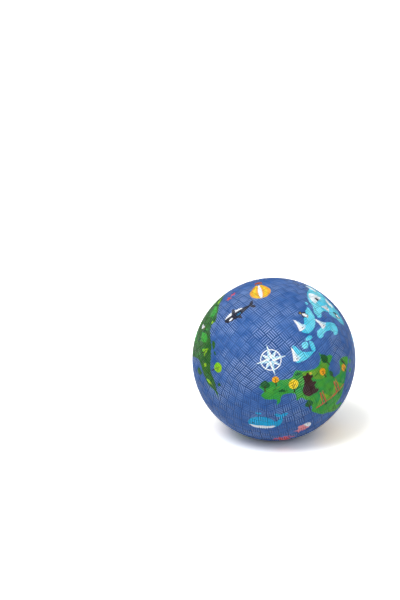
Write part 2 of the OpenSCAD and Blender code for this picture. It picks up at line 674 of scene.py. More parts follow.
# Each ink has a main tone and a second one that it drifts to in patches (sRGB).
INKS = {
    "sea": ((0.178, 0.367, 0.648), (0.270, 0.440, 0.712)),
    "forest": ((0.11, 0.37, 0.14), (0.22, 0.45, 0.13)),
    "grass": ((0.16, 0.64, 0.20), (0.28, 0.70, 0.22)),
    "leaf": ((0.10, 0.61, 0.30), (0.30, 0.67, 0.20)),
    "meadow": ((0.36, 0.62, 0.18), (0.46, 0.68, 0.18)),
    "lime": ((0.47, 0.79, 0.07), (0.66, 0.84, 0.10)),
    "pine": ((0.06, 0.33, 0.17), (0.10, 0.41, 0.20)),
    "lagoon": ((0.01, 0.64, 0.86), (0.05, 0.70, 0.90)),
    "teal": ((0.05, 0.40, 0.60), (0.08, 0.46, 0.66)),
    "ice": ((0.26, 0.79, 0.92), (0.50, 0.89, 0.96)),
    "frost": ((0.70, 0.87, 0.95), (0.78, 0.91, 0.96)),
    "white": ((0.95, 0.96, 0.97), (0.91, 0.93, 0.95)),
    "sun": ((0.98, 0.87, 0.04), (0.97, 0.82, 0.04)),
    "sand": ((0.97, 0.66, 0.05), (0.97, 0.71, 0.08)),
    "coral": ((0.88, 0.25, 0.26), (0.90, 0.34, 0.32)),
    "brick": ((0.68, 0.32, 0.15), (0.72, 0.38, 0.19)),
    "blush": ((0.92, 0.55, 0.62), (0.93, 0.62, 0.66)),
    "bark": ((0.22, 0.09, 0.08), (0.26, 0.12, 0.10)),
    "stone": ((0.50, 0.53, 0.58), (0.56, 0.58, 0.62)),
    "fog": ((0.62, 0.64, 0.68), (0.66, 0.68, 0.72)),
    "night": ((0.10, 0.11, 0.19), (0.14, 0.15, 0.22)),
}


# A shore has a point about every step, each a little off the smooth line, as if hand drawn.
SHORE_STEP = 1.3 * MM
SHORE_WOBBLE = 0.13 * MM
# Brush marks: half their length and their width in mm, and how far their turn varies
DAB_LENGTHS = (1.0, 2.6)
DAB_WIDTH = 0.8
DAB_SPREAD = 25
hand = np.random.default_rng(5)

# All the printed areas in the order of printing, each an ink, its middle and its outline as
# directions. The lands come first and the motifs are printed over them.
printed = []


def stamp(motif, lon, lat, turn=0, size=1, flip=False):
    """Prints a motif, centred on a place and turned to the left from north."""
    centre = place(lon, lat)
    east = unit(np.cross(POLE, centre))
    north = np.cross(centre, east)
    for ink, outline in moved(motif, turn=turn, size=size, flip=flip):
        reach = np.maximum(np.hypot(*outline.T), TINY)[:, None]
        angle = reach * MM / BALL_R
        bearing = (outline[:, :1] * east + outline[:, 1:] * north) / reach
        printed.append((ink, centre, np.cos(angle) * centre + np.sin(angle) * bearing))


def land(ink, *places):
    """Prints an area with a slightly ragged shore through the places, as (longitude, latitude)."""
    shore = smooth([place(*p) for p in places], SHORE_STEP / BALL_R)
    shore = unit(shore + SHORE_WOBBLE / BALL_R * hand.standard_normal(shore.shape))
    printed.append((ink, unit(shore.mean(axis=0)), shore))


def dabs(inks, count, turn, *places):
    """Prints short brush marks, scattered inside the places' outline, near that turn."""
    low, high = np.min(places, axis=0), np.max(places, axis=0)
    edge = np.array([place(*p) for p in places])
    made = 0
    while made < count:
        lon, lat = hand.uniform(low, high)
        ink = inks[hand.integers(len(inks))]
        length, bend = hand.uniform(*DAB_LENGTHS), hand.uniform(-DAB_SPREAD, DAB_SPREAD)
        if covered(place(lon, lat)[None], unit(edge.mean(axis=0)), edge)[0]:
            stamp([oval(ink, 0, 0, length, DAB_WIDTH / 2)], lon, lat, turn=turn + bend)
            made += 1


# The green land at the front, with its northern bay, its islands and paler meadows
land("leaf", (-168, 44), (-163, 46), (-157, 48), (-146, 48), (-135, 47), (-127, 50), (-119, 46),
     (-108, 42), (-100, 43), (-95, 47), (-95, 44), (-92, 40), (-89, 37), (-90, 35), (-93, 35),
     (-99, 34), (-101, 31), (-102, 28), (-101, 25), (-98, 23), (-95, 22), (-92, 23), (-90, 26),
     (-88, 27), (-84, 26), (-80, 21), (-80, 18), (-86, 16), (-89, 15), (-92, 13), (-95, 11),
     (-98, 8), (-101, 5), (-104, 2), (-107, 2), (-110, 1), (-107, -3), (-103, -8), (-105, -11),
     (-109, -9), (-113, -6), (-118, 0), (-122, 3), (-126, 9), (-129, 14), (-128, 17), (-128, 24),
     (-130, 26), (-133, 30), (-137, 29), (-137, 35), (-147, 37), (-151, 31), (-154, 30), (-153, 34),
     (-162, 35), (-166, 38), (-163, 41))
land("meadow", (-122, 46), (-115, 43), (-108, 41), (-102, 41), (-98, 43), (-98, 38), (-100, 35),
     (-103, 32), (-108, 32), (-113, 34), (-116, 37), (-115, 41), (-118, 43), (-123, 44))
dabs(("meadow", "grass", "forest"), 34, 10, (-164, 42), (-146, 46), (-127, 47), (-118, 43),
     (-104, 38), (-106, 24), (-98, 17), (-112, 4), (-122, 8), (-126, 22), (-130, 32), (-140, 38),
     (-160, 38))
dabs(("meadow", "forest"), 14, -30, (-121, 4), (-113, 3), (-106, -4), (-106, -9), (-112, -5))
dabs(("forest", "grass"), 8, 70, (-88, 25), (-82, 24), (-82, 19), (-88, 18))
land("leaf", (-80, 16), (-78, 14), (-80, 13), (-82, 14))
land("leaf", (-85, 11), (-83, 9), (-85, 8), (-87, 10))

# The long green land that runs round the left side to the back
land("forest", (-14, 8), (-10, 16), (-2, 14), (4, 20), (12, 24), (16, 17), (24, 20), (34, 22),
     (44, 19), (52, 24), (58, 29), (68, 38), (76, 42), (83, 46), (91, 48), (96, 48), (99, 45),
     (104, 44), (109, 45), (115, 45), (122, 45), (128, 43), (132, 41), (136, 38), (140, 35),
     (145, 33), (150, 31), (154, 27), (158, 22), (152, 25), (146, 24), (140, 25), (132, 27),
     (124, 27), (118, 21), (112, 12), (104, 6), (108, -5), (103, -13), (97, -6), (90, 0), (84, -10),
     (79, -18), (73, -8), (66, -2), (58, -9), (50, -4), (46, 4), (38, 2), (30, 6), (22, 0), (12, 4),
     (4, 0), (-6, 2))
land("grass", (76, 37), (80, 42), (85, 45), (89, 43), (88, 38), (82, 36))
land("grass", (103, 34), (105, 38), (108, 41), (113, 41), (114, 38), (110, 34))
land("leaf", (58, 20), (62, 25), (66, 23), (70, 28), (75, 25), (73, 21), (77, 17), (70, 15),
     (66, 17), (61, 13))
land("leaf", (86, 17), (90, 21), (94, 19), (99, 23), (104, 20), (101, 16), (104, 11), (97, 12),
     (92, 7), (90, 13))
land("meadow", (47, 12), (50, 17), (54, 15), (58, 19), (63, 14), (59, 11), (61, 6), (55, 8),
     (50, 4), (51, 9))
dabs(("pine", "leaf", "grass"), 60, 60, (58, 27), (76, 40), (91, 46), (104, 42), (128, 41),
     (150, 29), (140, 26), (124, 29), (112, 16), (98, 10), (74, 20))
dabs(("pine", "leaf"), 30, 20, (-10, 10), (24, 17), (52, 20), (74, 18), (92, 4), (60, 0), (30, 8),
     (-4, 3))
land("lime", (67, 35), (71, 38), (75, 39), (72, 36))
land("lime", (94, 44), (96, 46), (98, 46), (97, 44))
land("lime", (130, 32), (132, 34), (134, 33), (133, 31))
land("lime", (141, 26), (144, 28), (148, 27), (145, 26))
land("lime", (22, 6), (30, 12), (38, 10), (36, 4), (28, 7))
land("forest", (118, 47), (121, 49), (126, 48), (128, 46), (123, 46))
land("forest", (129, 46), (131, 47), (134, 46), (133, 45))
land("forest", (127, 22), (130, 25), (134, 24), (132, 20), (129, 19))
land("forest", (153, 33), (155, 34), (156, 32), (154, 31))

# Ice in the north
land("ice", (-11, 35), (-16, 36), (-20, 44), (-26, 49), (-32, 51), (-38, 51), (-43, 52), (-48, 53),
     (-52, 52), (-55, 51), (-54, 48), (-50, 47), (-47, 45), (-46, 42), (-47, 39), (-49, 38),
     (-51, 35), (-52, 32), (-54, 28), (-54, 23), (-51, 22), (-47, 23), (-42, 24), (-37, 26),
     (-32, 27), (-26, 28), (-20, 28), (-13, 28))
land("white", (-11, 34), (-15, 35), (-20, 34), (-20, 31), (-12, 31))
land("white", (-30, 31), (-36, 32), (-40, 30), (-39, 28), (-31, 29))
land("ice", (-40, 56), (-43, 55), (-48, 55), (-54, 54), (-60, 54), (-66, 55), (-72, 56), (-78, 58),
     (-81, 60), (-82, 63), (-80, 65), (-74, 65), (-66, 63), (-58, 63), (-50, 61), (-44, 59))
land("ice", (-60, 45), (-58, 41), (-58, 37), (-59, 35), (-62, 34), (-66, 34), (-70, 37), (-69, 38),
     (-67, 39), (-67, 42), (-69, 45), (-72, 47), (-77, 48), (-80, 50), (-79, 52), (-76, 53),
     (-71, 52), (-67, 50), (-65, 49))
land("ice", (-91, 60), (-86, 60), (-82, 58), (-83, 56), (-88, 57), (-92, 59))
land("ice", (-100, 61), (-94, 60), (-93, 57), (-99, 56), (-103, 58))
land("ice", (-90, 57), (-89, 54), (-95, 50), (-98, 51), (-95, 55))
land("ice", (-110, 65), (-108, 59), (-104, 55), (-98, 51), (-106, 51), (-117, 53), (-122, 55),
     (-119, 60))
land("ice", (-36, 55.5), (-32, 55.5), (-32, 54), (-36, 54))

# The lands of the back and the south
land("sun", (-30, -12), (-24, -5), (-12, -4), (0, -7), (9, -6), (15, -11), (20, -19), (14, -27),
     (9, -35), (6, -45), (0, -54), (-8, -62), (-16, -60), (-18, -50), (-16, -41), (-21, -33),
     (-30, -28), (-35, -20))
land("sand", (-26, -10), (-16, -7), (-4, -10), (4, -9), (10, -14), (2, -18), (-12, -16), (-24, -17))
land("leaf", (-17, -25), (-12, -22), (-8, -25), (-3, -21), (2, -25), (-1, -29), (2, -34), (-5, -33),
     (-10, -37), (-12, -32), (-17, -31))
dabs(("sand", "lime"), 26, -60, (-30, -14), (-22, -8), (10, -9), (17, -18), (8, -38), (-2, -56),
     (-12, -58), (-18, -40))
land("sand", (42, -35), (47, -37), (46, -46), (42, -49), (40, -42))
land("sand", (-128, -22), (-120, -19), (-110, -18), (-103, -18), (-98, -17), (-92, -15), (-84, -19),
     (-73, -28), (-78, -36), (-88, -44), (-93, -54), (-99, -64), (-107, -66), (-106, -56),
     (-108, -46), (-116, -36), (-126, -28))
land("leaf", (-116, -25), (-106, -23), (-92, -22), (-85, -26), (-95, -33), (-108, -34), (-117, -30))
land("sun", (-100, -46), (-95, -46), (-97, -56), (-103, -59), (-103, -52))
dabs(("sun", "brick"), 20, 20, (-122, -24), (-100, -20), (-84, -24), (-82, -34), (-96, -50),
     (-104, -60), (-106, -40))
land("sand", (82, -38), (88, -32), (96, -36), (102, -29), (107, -35), (115, -41), (115, -52),
     (105, -57), (96, -51), (86, -51), (79, -46))
land("sun", (86, -40), (92, -38), (98, -42), (108, -41), (104, -45), (109, -49), (100, -48),
     (95, -52), (93, -45))
dabs(("brick", "sun"), 14, 15, (84, -40), (96, -38), (110, -42), (111, -50), (98, -52))
land("leaf", (100, -20), (107, -17), (112, -20), (104, -24))
land("leaf", (116, -14), (120, -9), (124, -14), (119, -19))
land("leaf", (130, -50), (135, -52), (134, -60), (130, -56))
land("ice", (0, -76), (40, -71), (80, -78), (120, -71), (160, -76), (-160, -69), (-120, -77),
     (-80, -71), (-40, -75))
land("white", (10, -80), (60, -77), (110, -82), (170, -80), (-130, -82), (-60, -78))

# Round the pole
stamp(compass_rose(), -153, 63, turn=8)
stamp(balloon(), 31.2, 59.5, turn=1)
stamp(orca(), 82, 66.5, turn=-34, size=1.12)
stamp(starfish("coral", 3.4), 66, 47, turn=20)
stamp(starfish("coral", 3.0), 59, 46, turn=-10)

# On the ice
stamp(igloo(), -28, 43, turn=-70, size=1.05)
stamp(peak(8, 7), -42, 37, turn=-12)
stamp(penguin(), -51, 62, turn=-32, size=0.95)
stamp(penguin(), -48, 29, turn=-38, size=0.85)
stamp(peak(8, 10), -75, 64, turn=-34)
stamp(peak(7.5, 9.5), -64, 47, turn=-27)
stamp(peak(6.5, 10.5), -119, 56, turn=-12)

# On the green land at the front
stamp(leaf_tree(7.5, 6.4, trunk=3), -162, 46, turn=-6)
stamp(round_tree("sand", 5.4, 5.0), -151, 49, turn=-4)
stamp(round_tree("sun", 7.6, 7.8), -135, 42, turn=-14)
stamp(bush(5), -147, 40, turn=-8)
stamp(bush(5), -127, 47, turn=-12)
stamp(bear(), -123, 37)
stamp(starfish("sun", 1.5), -116, 42)
stamp(round_tree("sand", 5.2, 6.2), -106, 36, turn=-6)
stamp(leaf_tree(6.2, 8.2, trunk=3.5), -96, 41, turn=-8)
stamp(leaf_tree(3.6, 5.5, trunk=3), -101, 29, turn=-8)
stamp(leaf_tree(3.0, 5.0, trunk=2), -86, 25)
stamp(round_tree("sand", 5.4, 6.4), -89, 20, turn=-4)
stamp(leaf_tree(7.0, 6.6, trunk=4), -129, 22, turn=-10)
stamp(bridge(), -111, 13, turn=-9)

# On the green land at the left
stamp(round_tree("lime", 8.0, 8.0, trunk=3.5), 145, 42, turn=-27)
stamp(cone_tree(), 122, 37.5)
stamp(wader(), 96, 32, turn=8)
stamp(fir(4.5, 6), 82, 30)
stamp(fir(4, 5.5), 107, 28)
stamp(hut(), 90, 14)
stamp(palm(), 99, 0)
stamp(palm(-1.5), 79, -4)
stamp(flat_tree(7), 60, 8)
stamp(peak(8, 8), 70, 18)
stamp(peak(6, 6), 76, 20)
stamp(round_tree("lime", 5, 6), 38, 15)
stamp(windmill(), 8, 12)
stamp(leaf_tree(5, 6, trunk=2.5), 20, 9)
stamp(round_tree("sand", 5, 5), -4, 8)

# On the lands of the back and the south
stamp(elephant(), -9, -15)
stamp(flat_tree(8), 4, -22)
stamp(flat_tree(7), -26, -22)
stamp(palm(), -8, -30)
stamp(hut(), -10, -48)
stamp(palm(), -100, -27)
stamp(leaf_tree(5, 6, trunk=2.5), -111, -28)
stamp(round_tree("lime", 5, 5), -90, -27)
stamp(peak(7, 8), -100, -42)
stamp(flat_tree(8), 98, -43)
stamp(palm(), 110, -37)
stamp(penguin(), 30, -76)
stamp(penguin(), 140, -75)
stamp(penguin(), -100, -75)

# In the seas
stamp(whale(), -163.5, 16)
stamp(fish("blush", "white"), -137, -1, turn=30)
stamp(octopus("coral"), -153, -15, turn=190, size=1.2)
stamp(octopus("lagoon"), -58, 5, turn=8)
stamp(sailboat(), -56, -24)
stamp(fish("sun", "sand"), -62, -46, turn=-10)
stamp(turtle(), 170, -40, turn=30)
stamp(sailboat(), 134, -6, flip=True)
stamp(octopus("coral"), 140, -32)
stamp(starfish("sun", 4), -140, -44)
stamp(whale(), 62, -58, size=0.8, flip=True)
stamp(fish("coral", "white"), 62, -24, turn=10)
stamp(turtle(), 84, -66, turn=-40, size=0.8)
stamp(starfish("blush", 3.5), 36, -22)
stamp(fish("lime", "sun"), -40, -60, size=0.8)
stamp(sailboat(), 160, -60, size=0.9)


# Each panel of the weave is one square of the texture map, and the inside is the strip below them.
MAP_COLUMNS = 3
MAP_STRIP = 0.05
MAP_MARGIN = 0.012
# How much of the strip's height is used, so that a gap is left under the squares
MAP_STRIP_USED = 0.9


def texture_place(panel, u, v):
    """The places in the texture map of those panel coordinates."""
    row, column = divmod(panel, MAP_COLUMNS)
    x = column + MAP_MARGIN + (1 - 2 * MAP_MARGIN) * u / PANEL
    y = row + MAP_MARGIN + (1 - 2 * MAP_MARGIN) * v / PANEL
    rows = len(PANELS) / MAP_COLUMNS
    return np.stack((x / MAP_COLUMNS, MAP_STRIP + (1 - MAP_STRIP) * y / rows), axis=1)


def build_skin():
    """The outside: its points, heights, triangles, and each triangle's ink and texture places."""
    drawings = [Drawing() for _ in PANELS]
    for drawing in drawings:
        for i in range(CELLS):
            for j in range(CELLS):
                draw_cell(drawing, i, j)
    groove = [PAD_GROOVE_R + PAD_SLOPE * k for k in (-1, 0, 1)]
    for radius in (NECK_R, NECK_R + LIP, *groove):
        draw_outline(drawings, ring(VALVE, radius))
    for ink, centre, outline in printed:
        draw_outline(drawings, outline)

    directions, heights, triangles, borders, textured = [], [], [], [], []
    first = 0
    for panel, drawing in enumerate(drawings):
        points = [Vector(p) for p in drawing.points]
        made = delaunay_2d_cdt(points, sorted(drawing.edges), [], 0, SNAP, False)
        flat = np.array([tuple(p) for p in made[0]])
        corners = np.array(made[2])
        u, v = flat.T
        d = from_panel(u, v, panel)
        directions.append(d)
        heights.append(surface_height(d, u, v))
        triangles.append(corners + first)
        textured.append(texture_place(panel, u, v)[corners])
        at_border = np.minimum.reduce((u, v, PANEL - u, PANEL - v)) < SNAP
        borders.append(np.flatnonzero(at_border) + first)
        first += len(flat)
    directions = np.concatenate(directions)
    heights = np.concatenate(heights)
    textured = np.concatenate(textured)
    triangles = weld(directions, np.concatenate(triangles), np.concatenate(borders))

    middles = unit(directions[triangles].mean(axis=1))
    kept = ~covered(middles, VALVE, ring(VALVE, NECK_R))
    triangles, middles, textured = triangles[kept], middles[kept], textured[kept]
    ink_of = np.zeros(len(triangles), int)
    names = list(INKS)
    for ink, centre, outline in printed:
        ink_of[covered(middles, centre, outline)] = names.index(ink)
    used, triangles = np.unique(triangles, return_inverse=True)
    return directions[used], heights[used], triangles.reshape(-1, 3), ink_of, textured


def weld(points, triangles, among):
    """The triangles with the points of among that coincide made one."""
    tree = KDTree(len(among))
    for k in among:
        tree.insert(points[k], int(k))
    tree.balance()
    same = np.arange(len(points))
    for k in among:
        same[k] = min(found[1] for found in tree.find_range(points[k], WELD))
    return same[triangles]


def rim_of(points, triangles):
    """The points of the hole's edge in order round the valve, so that the wall is on their left."""
    edges = np.concatenate([triangles[:, (k, (k + 1) % 3)] for k in range(3)])
    there = {tuple(edge) for edge in edges.tolist()}
    following = {a: b for a, b in there if (b, a) not in there}
    rim = [min(following)]
    while following[rim[-1]] != rim[0]:
        rim.append(following[rim[-1]])
    return rim


def between(rings, closed=False):
    """The faces from each ring of points to the next, and their corners' texture places.

    A ring may be one point repeated, and where closed the last ring joins the first.
    """
    steps = len(rings) if closed else len(rings) - 1
    faces, texture_map = [], []
    for k in range(steps):
        here, after = rings[k], rings[(k + 1) % len(rings)]
        y0, y1 = k / steps, (k + 1) / steps
        for n in range(len(here)):
            m = (n + 1) % len(here)
            x0, x1 = n / len(here), (n + 1) / len(here)
            corners = here[n], here[m], after[m], after[n]
            places = (x0, y0), (x1, y0), (x1, y1), (x0, y1)
            kept = [q for q in range(4) if corners[q] != corners[q - 1]]
            if len(kept) > 2:
                faces.append([corners[q] for q in kept])
                texture_map += [places[q] for q in kept]
    return faces, np.array(texture_map)


def inner_rows(angles):
    """INSIDE_ROWS rows of points, from the hole's inner edge over the inside of the ball."""
    radius = BALL_R - WALL
    rows = []
    for tilt in np.linspace(math.asin(NECK_R / radius), math.pi, INSIDE_ROWS + 1)[:-1]:
        flat = np.outer(np.cos(angles), ACROSS) + np.outer(np.sin(angles), ABOVE)
        rows.append(CENTRE + radius * (math.cos(tilt) * VALVE + math.sin(tilt) * flat))
        rows[-1][:, 2] = np.maximum(rows[-1][:, 2], WALL)
    return rows


def wall_object(name):
    """The ball's closed wall: the printed, woven outside, the valve's hole and a plain inside."""
    directions, heights, triangles, ink_of, textured = build_skin()
    points = CENTRE + directions * (BALL_R - RIB_DEPTH * (1 - heights))[:, None]
    points[:, 2] = np.maximum(points[:, 2], 0)

    rim = rim_of(points, triangles)
    angles = np.arctan2((points[rim] - CENTRE) @ ABOVE, (points[rim] - CENTRE) @ ACROSS)
    rows = np.arange(INSIDE_ROWS * len(rim)).reshape(INSIDE_ROWS, -1) + len(points)
    far_end = CENTRE - (BALL_R - WALL) * VALVE
    points = np.concatenate([points] + inner_rows(angles) + [[far_end]])
    rings = [rim] + rows.tolist() + [[len(points) - 1] * len(rim)]
    inner_faces, inner_map = between([ids[::-1] for ids in rings])
    faces = triangles.tolist() + inner_faces
    strip = inner_map * (1, MAP_STRIP * MAP_STRIP_USED)
    texture_map = np.concatenate((textured.reshape(-1, 2), strip))

    mesh = bpy.data.meshes.new(name)
    mesh.from_pydata(points.tolist(), [], faces, shade_flat=False)
    for ink in INKS:
        mesh.materials.append(ink_material(ink, *INKS[ink]))
    mesh.materials.append(plain_rubber("bare_rubber", *BARE))
    slots = np.full(len(faces), len(INKS), np.int32)
    slots[:len(ink_of)] = ink_of
    mesh.polygons.foreach_set("material_index", slots)
    heights = np.concatenate((heights, np.ones(len(points) - len(heights))))
    rib = mesh.attributes.new("rib_height", "FLOAT", "POINT")
    rib.data.foreach_set("value", heights.astype(np.float32))
    layer = mesh.uv_layers.new(name=TEXTURE_MAP)
    layer.uv.foreach_set("vector", texture_map.astype(np.float32).ravel())
    ends = np.empty(len(mesh.edges) * 2, np.int32)
    mesh.edges.foreach_get("vertices", ends)
    ends = ends.reshape(-1, 2)
    in_hole = np.zeros(len(points), bool)
    in_hole[rings[0] + rings[1]] = True
    sharp = (heights[ends] < GROOVE_FLOOR).all(axis=1) | in_hole[ends].all(axis=1)
    mesh.attributes.new("sharp_edge", "BOOLEAN", "EDGE").data.foreach_set("value", sharp)
    return add_object(name, mesh)


# ---------------------------------------------------------------- the valve

# Points round a turned solid and along a rounded corner, and the sharpest angle shaded smooth
TURNS = 72
CORNER_POINTS = 6
SMOOTH_BELOW = 40

# The flange's radius, and depths below the ball's outside on the valve's axis, in mm: the
# seat of the core's head, the locking ring's two sides, and the ends of housing and core.
# The flange follows the wall, so its two faces each have a depth at the neck and at the rim.
FLANGE_R = 11
SEAT = 1.2
LOCK_NEAR = 10.8
LOCK_FAR = 12.4
HOUSING_END = 14
CORE_END = 15.5
FLANGE_OUTER = (3.21, 4.02)
FLANGE_INNER = (4.62, 5.43)
# How far the housing's face lies below the ball's surface
SUNK = 0.05


def sag(radius):
    """How far the outside of the ball falls away at that distance from the valve's axis, in mm."""
    ball = BALL_R / MM
    return ball - math.sqrt(ball * ball - radius * radius)


def rounded(corners):
    """The points of a closed profile, each corner (radius, depth, size of its rounding) in mm."""
    points = []
    for k, (x, y, size) in enumerate(corners):
        here = np.array((x, y))
        if not size:
            points.append(here)
            continue
        before = here + unit(np.array(corners[k - 1][:2]) - here) * size
        after = here + unit(np.array(corners[(k + 1) % len(corners)][:2]) - here) * size
        for t in np.linspace(0, 1, CORNER_POINTS):
            points.append((1 - t) ** 2 * before + 2 * t * (1 - t) * here + t * t * after)
    return points


def turned(name, corners, material):
    """A solid turned about the valve's axis from a closed profile of radii and depths in mm."""
    points, rings = [], []
    for radius, depth in rounded(corners):
        middle = CENTRE + (BALL_R - depth * MM) * VALVE
        if radius < TINY:
            rings.append([len(points)] * TURNS)
            points.append(middle)
            continue
        rings.append(list(range(len(points), len(points) + TURNS)))
        for k in range(TURNS):
            angle = 2 * math.pi * k / TURNS
            outwards = math.cos(angle) * ACROSS + math.sin(angle) * ABOVE
            points.append(middle + radius * MM * outwards)
    faces, texture_map = between(rings, closed=True)
    mesh = bpy.data.meshes.new(name)
    mesh.from_pydata([tuple(p) for p in points], [], faces, shade_flat=False)
    mesh.materials.append(material)
    layer = mesh.uv_layers.new(name=TEXTURE_MAP)
    layer.uv.foreach_set("vector", texture_map.astype(np.float32).ravel())
    mesh.set_sharp_from_angle(angle=math.radians(SMOOTH_BELOW))
    return add_object(name, mesh)


def add_valve():
    """The valve's moulded housing and its self-sealing core, both with rounded edges."""
    neck = NECK_R / MM
    housing = turned("housing_moulded", [
        (HEAD_R, sag(HEAD_R) + SUNK, 0.35), (neck, sag(neck) + SUNK, 0.35),
        (neck, FLANGE_OUTER[0], 0), (FLANGE_R, FLANGE_OUTER[1], 0.4),
        (FLANGE_R, FLANGE_INNER[1], 0.5), (neck, FLANGE_INNER[0], 0.8),
        (neck, HOUSING_END, 0.6), (STEM_R, HOUSING_END, 0.3),
        (STEM_R, LOCK_FAR, 0), (LOCK_R, LOCK_FAR, 0),
        (LOCK_R, LOCK_NEAR, 0), (STEM_R, LOCK_NEAR, 0),
        (STEM_R, SEAT, 0), (HEAD_R, SEAT, 0),
    ], plain_rubber("housing_rubber", *HOUSING))
    head = HEAD_R - 0.02
    core = turned("core_moulded", [
        (0, 6, 0), (NEEDLE_R, 5.4, 0.3), (NEEDLE_R, 1.1, 0.2), (NEEDLE_R + 0.45, 0.42, 0.25),
        (HEAD_R - 0.8, 0.3, 0.2), (HEAD_R - 0.5, 0.12, 0.15), (head, 0.16, 0.3),
        (head, SEAT, 0.15), (STEM_R, SEAT, 0), (STEM_R, LOCK_NEAR, 0), (LOCK_R, LOCK_NEAR, 0.4),
        (LOCK_R, LOCK_FAR, 0.5), (STEM_R, LOCK_FAR, 0), (STEM_R, HOUSING_END, 0.3),
        (1.7, CORE_END, 0.6), (0, CORE_END, 0),
    ], plain_rubber("core_rubber", *CORE))
    replaced = (housing, "valve_housing", "housing_rubber"), (core, "valve_core", "core_rubber")
    for piece, node_name, slot in replaced:
        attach(piece, "root")
        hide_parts(node_name)


# ---------------------------------------------------------------- materials

# Tones of the unprinted rubbers, each a main tone and one that it drifts to (sRGB)
BARE = ((0.20, 0.30, 0.50), (0.23, 0.34, 0.55))
HOUSING = ((0.18, 0.30, 0.55), (0.21, 0.34, 0.60))
CORE = ((0.80, 0.81, 0.80), (0.86, 0.86, 0.84))
PATCH = ((0.30, 0.31, 0.33), (0.36, 0.37, 0.39))
# What dust looks like, and the pale tone of scuffs and of painted glints on rib tops
DUST = (0.62, 0.62, 0.60)
SCUFF_AND_GLINT = (0.72, 0.78, 0.88)

# The print is brushed: patches and stretched strokes of an ink's second tone
PATCH_SIZE = 13 * MM
STROKE_SIZE = 9 * MM
STROKE_SHARE = 0.8
BRUSH_STRETCH = (0.5, 2.2, 1.4)
TONE_RANGE = (0.72, 1.08)

# The weave's grooves carry painted shade and its rib tops carry painted light. Both are strong in
# some parts of the ball and weak in others. Each pair is the painted shade of grooves, or the
# painted light of rib tops, where it is strong and where it is weak. A noise of the size below,
# taken at a shifted place, runs from strong to weak over the range below.
PAINTED_LIGHT_PATCH_SIZE = 26 * MM
PAINTED_LIGHT_PATCH_SHIFT = (0.15, -0.05, 0.02)
PAINTED_LIGHT_PATCH_RANGE = (0.36, 0.56)
PAINTED_GROOVE_SHADE = (0.22, 0.58)
PAINTED_CREST_LIGHT = (1.26, 1.06)
# The rib heights between which the painted groove shade turns to the painted light of rib tops, and
# those of a rib's top, which carries painted glints and scuffs
FLANK_RANGE = (0.2, 0.75)
TOP_RANGE = (0.85, 1.0)
# The share of the light in a groove that the palest ink throws back into it
BOUNCE = 0.6

# How pale the painted glints are on rib tops where the painted shade is strong, how pale scuffs
# are, and the share of both on motifs
PAINTED_GLINT = 0.38
WEAR = 0.20
MOTIF_GLINT_AND_WEAR = 0.3
SCUFF_SIZE = 6 * MM
SCUFF_RANGE = (0.52, 0.68)

# The print's roughness from smooth to scuffed, what a groove adds to it up to that height,
# and its level of shine
INK_ROUGHNESS = (0.26, 0.36)
GROOVE_ROUGHNESS = 0.3
GROOVE_RANGE = (0.0, 0.4)
INK_SHINE = 0.25

# Unprinted rubber: its mottled tones and roughness, the dust on it and its level of shine
MOTTLE_SIZE = 3 * MM
RUBBER_ROUGHNESS = (0.48, 0.66)
DUST_SIZE = 1.2 * MM
DUST_SHARE = 0.25
RUBBER_SHINE = 0.4

# The moulded grain's size and strength on print and on rubber, and its depth
INK_GRAIN = (0.35 * MM, 0.35)
RUBBER_GRAIN = (0.25 * MM, 0.4)
GRAIN_DEPTH = 0.03 * MM


def linear(colour):
    """An sRGB colour as the linear colour that a shader takes, with alpha."""
    return tuple(c / 12.92 if c <= 0.04045 else ((c + 0.055) / 1.055) ** 2.4 for c in colour) + (1,)


def new_material(name):
    """A material, its node tree and its shader."""
    material = bpy.data.materials.new(name)
    material.use_nodes = True
    return material, material.node_tree, material.node_tree.nodes["Principled BSDF"]


def feed(tree, socket, value):
    """Links another node's output to the socket, or sets the socket to a plain value."""
    if isinstance(value, bpy.types.NodeSocket):
        tree.links.new(value, socket)
    else:
        socket.default_value = value


def node(tree, kind, inputs, output=0, **settings):
    """One output of a new node with those inputs and settings."""
    made = tree.nodes.new("ShaderNode" + kind)
    for name, value in settings.items():
        setattr(made, name, value)
    for key, value in inputs.items():
        feed(tree, made.inputs[key], value)
    return made.outputs[output]


def noise(tree, where, size, detail=2.0, roughness=0.5):
    """Noise from 0 to 1 in patches of about that size in metres."""
    inputs = {"Vector": where, "Scale": 1 / size, "Detail": detail, "Roughness": roughness}
    return node(tree, "TexNoise", inputs)


def ramp(tree, value, low, high, start, end):
    """A number that goes from start to end as the value goes from low to high."""
    inputs = {"Value": value, "From Min": low, "From Max": high, "To Min": start, "To Max": end}
    return node(tree, "MapRange", inputs)


def maths(tree, operation, a, b):
    """The sum, product or other operation on two numbers."""
    return node(tree, "Math", {0: a, 1: b}, operation=operation)


def blended(tree, share, a, b, how="MIX"):
    """Two colours mixed, or multiplied where how says so."""
    return node(tree, "Mix", {0: share, 6: a, 7: b}, 2, data_type="RGBA", blend_type=how)


def add_grain(tree, shader, where, size, strength):
    """A fine grain in the shader's normal."""
    grain = noise(tree, where, size, detail=3.0)
    bump = {"Strength": strength, "Distance": GRAIN_DEPTH, "Height": grain}
    feed(tree, shader.inputs["Normal"], node(tree, "Bump", bump))


